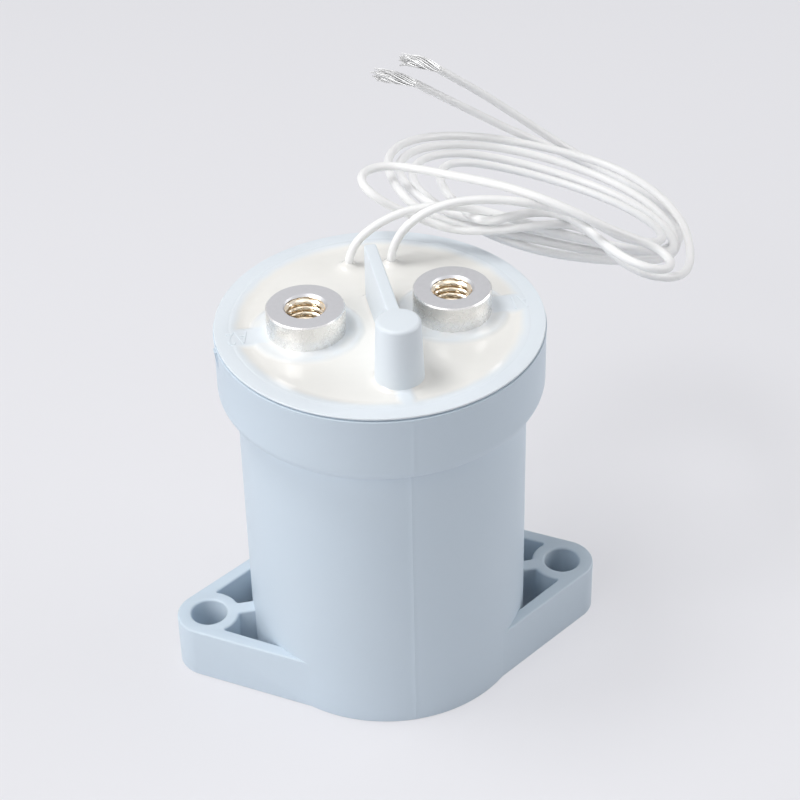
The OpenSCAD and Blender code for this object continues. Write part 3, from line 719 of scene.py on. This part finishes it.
# The bars, rib and wall end a little short of the collars' faces, so that no two faces coincide
bar_span = (bar_low + 0.06, bar_top - 0.05)
rib_span = (bar_low + 0.12, bar_top - 0.22)
barrier_low = lid_low + 0.15
ring = turned("ring", eased([
    (ring_in_r, lid_low, 0), (header_r, lid_low, 0), (header_r, lip_z, 0), (seam_r, lip_z, 0),
    (seam_r, lip_z + seam_h, 0), (ring_out_r, lip_z + seam_h, 0.05), (ring_out_r, ring_top, 0.18),
    (ring_in_r, ring_top, 0.3)]), closed=True)
collars = [turned("collar", eased([
    (terminal_r + stud_gap, bar_low, 0), (collar_out_r, bar_low, 0), (collar_out_r, bar_top, 0.7),
    (terminal_r + stud_gap, bar_top, 0.1)]), 128, (side * terminal_x, 0), closed=True) for side in (1, -1)]
bars = [plate("bar", [eased([
    (side * bar_start, -bar_half, bar_edge), (side * bar_reach, -bar_half, bar_edge),
    (side * bar_reach, bar_half, bar_edge), (side * bar_start, bar_half, bar_edge)])],
    *bar_span, bar_edge) for side in (1, -1)]
post = turned("post", [
    (0, lid_low), (post_low_r, lid_low), (post_low_r, ring_top),
    *arc(post_top_r - post_edge, post_top - post_edge, post_edge, 0, 90, 6), (0, post_top)], 96, (0, post_y))
barrier = plate("barrier", [eased([
    (-wall_half, post_y, barrier_corner), (wall_half, post_y, barrier_corner),
    (wall_half, wall_end, barrier_corner), (-wall_half, wall_end, barrier_corner)])],
    barrier_low, wall_top, barrier_edge)
front_rib = plate("front_rib", [eased([
    (-rib_half, -bar_reach, bar_edge), (rib_half, -bar_reach, bar_edge),
    (rib_half, post_y, bar_edge), (-rib_half, post_y, bar_edge)])], *rib_span, bar_edge)
lid = fused("lid", [ring, *collars, *bars, post, barrier, front_rib])
lid_tint = (0.79, 0.845, 0.895)
pale_nylon = finish("pale_nylon", lid_tint, (0.765, 0.825, 0.88), 60, (0.36, 0.5), 2600, 0.08)
piece("lid_frame", lid, [pale_nylon], "lid_plastic", "top_frame")

# Resin
# Off-white casting resin poured in round the lid's posts. It set with a gloss, creeps up whatever
# it touches, leaves a film over the bars and collars, and stands in a small mound round each lead.
pour_low = lid_low
pour_r = ring_in_r + 0.7
pour_rings = 124
pour_steps = 400
film = 0.06
film_edge = 0.01
rib_film = 0.7
wall_creep = (0.8, 0.5)
post_creep = (0.8, 0.6)
lead_creep = (1.3, 0.9)
lead_r = lead_d / MM / 2
film_gloss_level = 0.2
lead_exits = [Vector(lead_a_route[0]), Vector(lead_b_route[0])]


def ease(gap, near, far):
    """1 where a gap is below near, 0 where it is above far, and a smooth fall between."""
    t = max(0, min(1, (far - gap) / (far - near)))
    return t * t * (3 - 2 * t)


def resin_rise(x, y):
    """Height of the resin above its level, and how thinly it covers the lid there."""
    side_x = abs(x)
    wander = noise.noise(Vector((x * 0.35, y * 0.35, 4.0)))
    to_ring = ring_in_r - math.hypot(x, y)
    to_collar = math.hypot(side_x - terminal_x, y) - collar_out_r
    to_bar = max(abs(y) - bar_half, bar_start - side_x)
    to_rib = max(side_x - rib_half - rib_film, y - post_y)
    sunk = min(to_collar, to_bar, to_rib + rib_film) + 0.25 * wander
    over = ease(sunk, -0.5, 0.9) * (bar_top + film - resin_z)
    on_ring = ring_top + film * ease(-to_ring, 0.1, 0.65) - film_edge - resin_z
    over += ease(to_ring, -0.4, 2.8) * (on_ring - over)
    creeps = [
        (math.hypot(max(side_x - wall_half, 0), max(y - wall_end, post_y - y, 0)), *wall_creep),
        (math.hypot(x, y - post_y) - post_low_r, *post_creep)]
    creeps += [(math.hypot(x - at.x, y - at.y) - lead_r, *lead_creep) for at in lead_exits]
    total = over ** 4
    for gap, height, fade in creeps:
        total += (height * (1 + 0.25 * wander) * math.exp(-max(gap, 0) / fade)) ** 4
    ripple = (0.05 * noise.noise(Vector((x * 0.14, y * 0.14, 0)))
              + 0.02 * noise.noise(Vector((x * 0.6, y * 0.6, 9))))
    open_pour = 1 - min(1, over / 0.3)
    thin = max(ease(min(to_bar, to_rib + rib_film) + 0.25 * wander, -0.6, 1.0),
               (0.6 + 0.35 * wander) * ease(to_collar + 0.25 * wander, -0.6, 1.0),
               ease(to_ring + 0.3 * wander, -0.2, 1.9 + 0.6 * ease(y, -20, 0)))
    return total ** 0.25 + ripple * open_pour, thin


pool = bmesh.new()
thin_layer = pool.verts.layers.float.new("thin_film")
rings = []
for k in range(pour_rings + 1):
    r = pour_r * k / pour_rings
    ring_of = []
    for s in range(1 if k == 0 else pour_steps):
        a = 2 * math.pi * s / pour_steps
        x, y = r * math.cos(a), r * math.sin(a)
        rise, thin = resin_rise(x, y)
        vert = pool.verts.new((x, y, resin_z + rise))
        vert[thin_layer] = thin
        ring_of.append(vert)
    rings.append(ring_of if k else ring_of * pour_steps)
under = [pool.verts.new((v.co.x, v.co.y, pour_low)) for v in rings[-1]]
rings.append(under)
for low, high in zip(rings, rings[1:]):
    for s in range(pour_steps):
        corners = [low[s], high[s], high[(s + 1) % pour_steps], low[(s + 1) % pour_steps]]
        pool.faces.new(list(dict.fromkeys(corners)))
pool.faces.new(list(reversed(under)))
bmesh.ops.recalc_face_normals(pool, faces=pool.faces)
pool_mesh = bpy.data.meshes.new("resin_pool")
pool.to_mesh(pool_mesh)
pool.free()
cast_resin = finish(
    "cast_resin", (0.885, 0.875, 0.845), (0.865, 0.855, 0.82), 90, (0.07, 0.14), 300, 0.05)
resin_tree = cast_resin.node_tree
resin_face = resin_tree.nodes["Principled BSDF"]
cream = resin_face.inputs["Base Color"].links[0].from_socket
film_share = wired(resin_tree, "ShaderNodeAttribute", attribute_name="thin_film").outputs["Fac"]
tinted = wired(resin_tree, "ShaderNodeMix", {"Factor": film_share, "A": cream, "B": (*lid_tint, 1)},
               data_type="RGBA").outputs["Result"]
resin_tree.links.new(tinted, resin_face.inputs["Base Color"])
wet_gloss = resin_face.inputs["Roughness"].links[0].from_socket
film_gloss = wired(resin_tree, "ShaderNodeMix", {"Factor": film_share, "A": wet_gloss, "B": film_gloss_level},
                   data_type="FLOAT").outputs["Result"]
resin_tree.links.new(film_gloss, resin_face.inputs["Roughness"])
piece("resin_pool", pool_mesh, [cast_resin], "resin", "potting")

# Terminal marks
# The usual A1 and A2 of the two sides, raised in the lid's own nylon on the outer ends of the
# bars and read from the back.
mark_x = 27.2
mark_h = 4.1
mark_stand = 0.1
mark_low = bar_top - 0.3
cap_share = 0.7
narrow = 0.62


def raised_mark(name, letters, side):
    """One mark, sunk into its bar and standing a little proud of the film and the ring."""
    data = bpy.data.curves.new(name, "FONT")
    data.body = letters
    data.size = mark_h / cap_share
    data.align_x = "CENTER"
    data.align_y = "CENTER"
    data.extrude = (ring_top + mark_stand - mark_low) / 2
    carrier = bpy.data.objects.new(name, data)
    scene.collection.objects.link(carrier)
    mesh = plain_mesh(carrier)
    mesh.transform(Matrix.Translation((side * mark_x, 0, mark_low + data.extrude))
                   @ Matrix.Rotation(math.pi, 4, "Z") @ Matrix.Diagonal((narrow, 1, 1, 1)))
    shape = bmesh.new()
    shape.from_mesh(mesh)
    bmesh.ops.remove_doubles(shape, verts=shape.verts, dist=1e-4)
    for vert in shape.verts:
        if vert.co.z > mark_low + data.extrude:
            level = resin_z + resin_rise(vert.co.x, vert.co.y)[0]
            in_pour = math.hypot(vert.co.x, vert.co.y) < ring_in_r
            vert.co.z = mark_stand + (level if in_pour else ring_top)
    bmesh.ops.recalc_face_normals(shape, faces=shape.faces)
    shape.to_mesh(mesh)
    shape.free()
    piece(name, mesh, [pale_nylon], "lid_plastic")


raised_mark("mark_left", "A2", -1)
raised_mark("mark_right", "A1", 1)

# Terminals
# Copper studs turned and nickel plated, 15 mm across, their tops faced to a fine matt grain and
# tapped M8 with a small chamfer; tops and chamfers are a darker nickel, painted shade. They stand
# on the header plate, and the copper shows warm through the thin plate in the thread.
stud_top = 83.6
stud_low = 60.0
stem_r = 5.5
tap_r = 3.375
thread_r = 4.0
chamfer_r = 4.2
stud_edge = 0.25
chamfer_h = 0.5
tap_depth = 13
tap_steps = 128
thread_rows = 118
thread_pitch = 1.25
run_out = 1.0
crest_flat = 0.14
root_flat = 0.80
weld = 2e-3

tapped, given, result = new_tree("tapped_hole", [
    ("Top", "Float"), ("Depth", "Float"), ("Pitch", "Float"), ("Minor Radius", "Float"),
    ("Major Radius", "Float"), ("Mouth Radius", "Float"), ("Run Out", "Float"), ("Sides", "Int"),
    ("Rows", "Int"), ("Material", "Material")])
sheet = wired(tapped, "GeometryNodeMeshGrid", {
    "Size X": 1.0, "Size Y": 1.0, "Vertices X": given["Sides"], "Vertices Y": given["Rows"]}).outputs["Mesh"]
spot = wired(tapped, "GeometryNodeInputPosition").outputs[0]
flat = wired(tapped, "ShaderNodeSeparateXYZ", {0: spot}).outputs
around = sums(tapped, "ADD", flat["X"], 0.5)
below = sums(tapped, "MULTIPLY", sums(tapped, "SUBTRACT", 0.5, flat["Y"]), given["Depth"])
height = sums(tapped, "SUBTRACT", given["Top"], below)
phase = sums(tapped, "FRACT", sums(
    tapped, "SUBTRACT", sums(tapped, "DIVIDE", height, given["Pitch"]), around))
slope = sums(tapped, "ABSOLUTE", sums(tapped, "SUBTRACT", sums(tapped, "MULTIPLY", phase, 2.0), 1.0))
flank = wired(tapped, "ShaderNodeMapRange", {
    "Value": slope, "From Min": crest_flat, "From Max": root_flat}).outputs["Result"]
above_end = sums(tapped, "SUBTRACT", given["Depth"], below)
flank = sums(tapped, "MULTIPLY", flank, wired(tapped, "ShaderNodeMapRange", {
    "Value": above_end, "From Max": given["Run Out"]}).outputs["Result"])
cut_r = sums(tapped, "ADD", given["Minor Radius"], sums(
    tapped, "MULTIPLY", flank, sums(tapped, "SUBTRACT", given["Major Radius"], given["Minor Radius"])))
cut_r = sums(tapped, "MAXIMUM", cut_r, sums(tapped, "SUBTRACT", given["Mouth Radius"], below))
turn = sums(tapped, "MULTIPLY", around, 2 * math.pi)
bent = wired(tapped, "ShaderNodeCombineXYZ", {
    "X": sums(tapped, "MULTIPLY", cut_r, sums(tapped, "COSINE", turn)),
    "Y": sums(tapped, "MULTIPLY", cut_r, sums(tapped, "SINE", turn)), "Z": height}).outputs[0]
sheet = wired(tapped, "GeometryNodeSetPosition", {"Geometry": sheet, "Position": bent}).outputs[0]
sheet = wired(tapped, "GeometryNodeMergeByDistance", {"Geometry": sheet, "Distance": 1e-4}).outputs[0]
sheet = wired(tapped, "GeometryNodeRealizeInstances", {"Geometry": sheet}).outputs[0]
sheet = wired(tapped, "GeometryNodeSetMaterial", {"Geometry": sheet, "Material": given["Material"]}).outputs[0]
tapped.links.new(sheet, result["Geometry"])

plate_nickel = finish(
    "bright_nickel", (0.87, 0.86, 0.845), (0.79, 0.78, 0.76), 900, (0.2, 0.34), 4000, 0.09, 1.0)
# Tops and mouth chamfers: the matt grain is the faced finish's own, but the darker nickel is painted shade
# standing for the dimmer reflection there
faced_nickel_painted_shade = finish(
    "faced_nickel_painted_shade", (0.60, 0.60, 0.61), (0.54, 0.54, 0.55), 900, (0.38, 0.5), 9000, 0.12, 1.0)
thread_metal = finish(
    "warm_thread", (0.90, 0.83, 0.70), (0.76, 0.63, 0.47), 260, (0.10, 0.2), 5000, 0.04, 1.0)
stud_section = [
    (0, stud_low), (stem_r, stud_low), (stem_r, lid_low), (terminal_r, lid_low),
    (terminal_r, stud_top - stud_edge), (terminal_r - stud_edge, stud_top), (chamfer_r, stud_top)]


def stud(name, node, side):
    """One terminal with its tapped hole."""
    bore = grown(name + "_bore", bpy.data.meshes.new(name + "_start"), tapped, {
        "Top": stud_top, "Depth": float(tap_depth), "Pitch": thread_pitch, "Minor Radius": tap_r,
        "Major Radius": thread_r, "Mouth Radius": chamfer_r, "Run Out": run_out, "Sides": tap_steps + 1,
        "Rows": thread_rows, "Material": thread_metal})
    shape = bmesh.new()
    shape.from_mesh(turned(name, stud_section, tap_steps))
    shape.from_mesh(bore)
    bore_end = stud_top - tap_depth
    shape.from_mesh(turned(name + "_end", [(tap_r, bore_end), (0, bore_end)], tap_steps))
    bmesh.ops.remove_doubles(shape, verts=shape.verts, dist=weld)
    bmesh.ops.recalc_face_normals(shape, faces=shape.faces)
    for face in shape.faces:
        middle = face.calc_center_median()
        from_axis = math.hypot(middle.x, middle.y)
        in_bore = from_axis < thread_r + 0.1 and bore_end - 0.1 < middle.z < stud_top - chamfer_h
        # Faces on the top and in the mouth chamfer take the darker nickel of painted shade
        top_painted_shade = middle.z > stud_top - 0.01 or from_axis < chamfer_r
        face.material_index = 1 if in_bore else 2 if top_painted_shade else 0
    bmesh.ops.translate(shape, verts=shape.verts, vec=(side * terminal_x, 0, 0))
    mesh = bpy.data.meshes.new(name)
    shape.to_mesh(mesh)
    shape.free()
    piece(name, mesh, [plate_nickel, thread_metal, faced_nickel_painted_shade], "plated_copper", node)


stud("stud_left", "terminal_left", -1)
stud("stud_right", "terminal_right", 1)

# Springs
# Two springs wound of round steel wire with closed end turns. The return spring presses the plunger
# off the fixed core, and the contact spring stands on its seat under the bridge.
spring_rows = 145
spring_steel = finish(
    "drawn_steel", (0.58, 0.59, 0.60), (0.46, 0.47, 0.48), 600, (0.22, 0.4), 5000, 0.12, 1.0)

wound, given, result = new_tree("wound_spring", [
    ("Turns", "Float"), ("Coil Radius", "Float"), ("Wire Radius", "Float"), ("Low", "Float"), ("High", "Float"),
    ("Material", "Material")])
rod = wired(wound, "GeometryNodeCurvePrimitiveLine").outputs["Curve"]
rod = wired(wound, "GeometryNodeResampleCurve", {"Curve": rod, "Count": spring_rows}).outputs["Curve"]
turn = sums(wound, "MULTIPLY", wired(wound, "GeometryNodeSplineParameter").outputs["Factor"], given["Turns"])
wire_d = sums(wound, "MULTIPLY", given["Wire Radius"], 2.0)
last_turn = sums(wound, "SUBTRACT", given["Turns"], 1.0)
closed_turns = sums(wound, "ADD", sums(wound, "MINIMUM", turn, 1.0),
                    sums(wound, "MAXIMUM", sums(wound, "SUBTRACT", turn, last_turn), 0.0))
climb = wired(wound, "ShaderNodeMapRange", {
    "Value": turn, "From Min": 1.0, "From Max": last_turn}).outputs["Result"]
open_height = sums(wound, "SUBTRACT", sums(wound, "SUBTRACT", given["High"], given["Low"]),
                   sums(wound, "MULTIPLY", wire_d, 3.0))
height = sums(wound, "ADD", sums(wound, "ADD", given["Low"], given["Wire Radius"]),
              sums(wound, "ADD", sums(wound, "MULTIPLY", wire_d, closed_turns),
                   sums(wound, "MULTIPLY", open_height, climb)))
angle = sums(wound, "MULTIPLY", turn, 2 * math.pi)
coiled = wired(wound, "ShaderNodeCombineXYZ", {
    "X": sums(wound, "MULTIPLY", given["Coil Radius"], sums(wound, "COSINE", angle)),
    "Y": sums(wound, "MULTIPLY", given["Coil Radius"], sums(wound, "SINE", angle)), "Z": height}).outputs[0]
rod = wired(wound, "GeometryNodeSetPosition", {"Geometry": rod, "Position": coiled}).outputs[0]
section = wired(wound, "GeometryNodeCurvePrimitiveCircle", {"Resolution": 12, "Radius": given["Wire Radius"]},
                mode="RADIUS").outputs["Curve"]
rod = wired(wound, "GeometryNodeCurveToMesh", {
    "Curve": rod, "Profile Curve": section, "Fill Caps": True}).outputs[0]
rod = wired(wound, "GeometryNodeRealizeInstances", {"Geometry": rod}).outputs[0]
rod = wired(wound, "GeometryNodeSetMaterial", {"Geometry": rod, "Material": given["Material"]}).outputs[0]
wound.links.new(rod, result["Geometry"])


def wound_spring(name, node, body, turns, coil_r, wire_r, ends):
    """One spring wound between two heights."""
    mesh = grown(name, bpy.data.meshes.new(name + "_start"), wound, {
        "Turns": turns, "Coil Radius": coil_r, "Wire Radius": wire_r, "Low": ends[0], "High": ends[1],
        "Material": spring_steel})
    made = piece(name, mesh, [spring_steel], "spring_steel", node, crease=40, body=body)
    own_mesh(made)


wound_spring("return_coil", "return_spring", "base", 6.0, 4.2, 0.45, (19.45, 27.95))
wound_spring("contact_coil", "contact_spring", "armature", 4.0, 3.4, 0.4, (47.78, 52.78))

# Works inside
# Everything else under the resin keeps its CAD shape: the ceramic header and arc box, the copper
# and silver contacts, ferrite magnets, steel shaft, iron circuit and the wound bobbin.
inside = {
    ("header_plate", "arc_chamber"): finish(
        "fired_ceramic", (0.80, 0.77, 0.69), (0.72, 0.69, 0.61), 120, (0.55, 0.75), 1800, 0.2),
    ("gas_tube", "contact_bridge"): finish(
        "bare_copper", (0.75, 0.40, 0.26), (0.58, 0.29, 0.18), 220, (0.25, 0.45), 3000, 0.12, 1.0),
    ("coil_winding",): finish(
        "enamelled_wire", (0.55, 0.20, 0.08), (0.42, 0.14, 0.05), 900, (0.2, 0.35), 3200, 0.35, 0.6),
    ("fixed_tip_left", "fixed_tip_right", "bridge_tip_left", "bridge_tip_right"): finish(
        "contact_silver", (0.84, 0.83, 0.80), (0.70, 0.69, 0.66), 800, (0.3, 0.5), 4000, 0.15, 1.0),
    ("arc_magnet_front", "arc_magnet_rear"): finish(
        "sintered_ferrite", (0.05, 0.05, 0.055), (0.03, 0.03, 0.033), 500, (0.5, 0.7), 4000, 0.3),
    ("retaining_clip", "spring_seat", "plunger_shaft"): spring_steel,
    ("plunger", "fixed_core", "yoke_plate", "yoke_frame"): finish(
        "zinc_plated_iron", (0.55, 0.56, 0.58), (0.44, 0.45, 0.46), 260, (0.3, 0.5), 2600, 0.15, 1.0),
    ("core_sleeve",): finish(
        "drawn_brass", (0.72, 0.55, 0.27), (0.62, 0.46, 0.21), 300, (0.22, 0.38), 3000, 0.1, 1.0),
    ("damper_pad",): finish(
        "moulded_rubber", (0.03, 0.03, 0.03), (0.02, 0.02, 0.02), 400, (0.65, 0.85), 3000, 0.3),
    ("coil_bobbin",): finish(
        "bobbin_nylon", (0.76, 0.76, 0.72), (0.70, 0.70, 0.66), 90, (0.4, 0.55), 2400, 0.1),
    ("coil_wrap",): finish(
        "wrap_tape", (0.72, 0.50, 0.10), (0.64, 0.43, 0.08), 200, (0.18, 0.3), 1500, 0.15),
    ("inner_lead_a", "inner_lead_b"): white_jacket}
for names, material in inside.items():
    for name in names:
        shown = frame["nodes"][name].data
        shown.materials.clear()
        shown.materials.append(material)
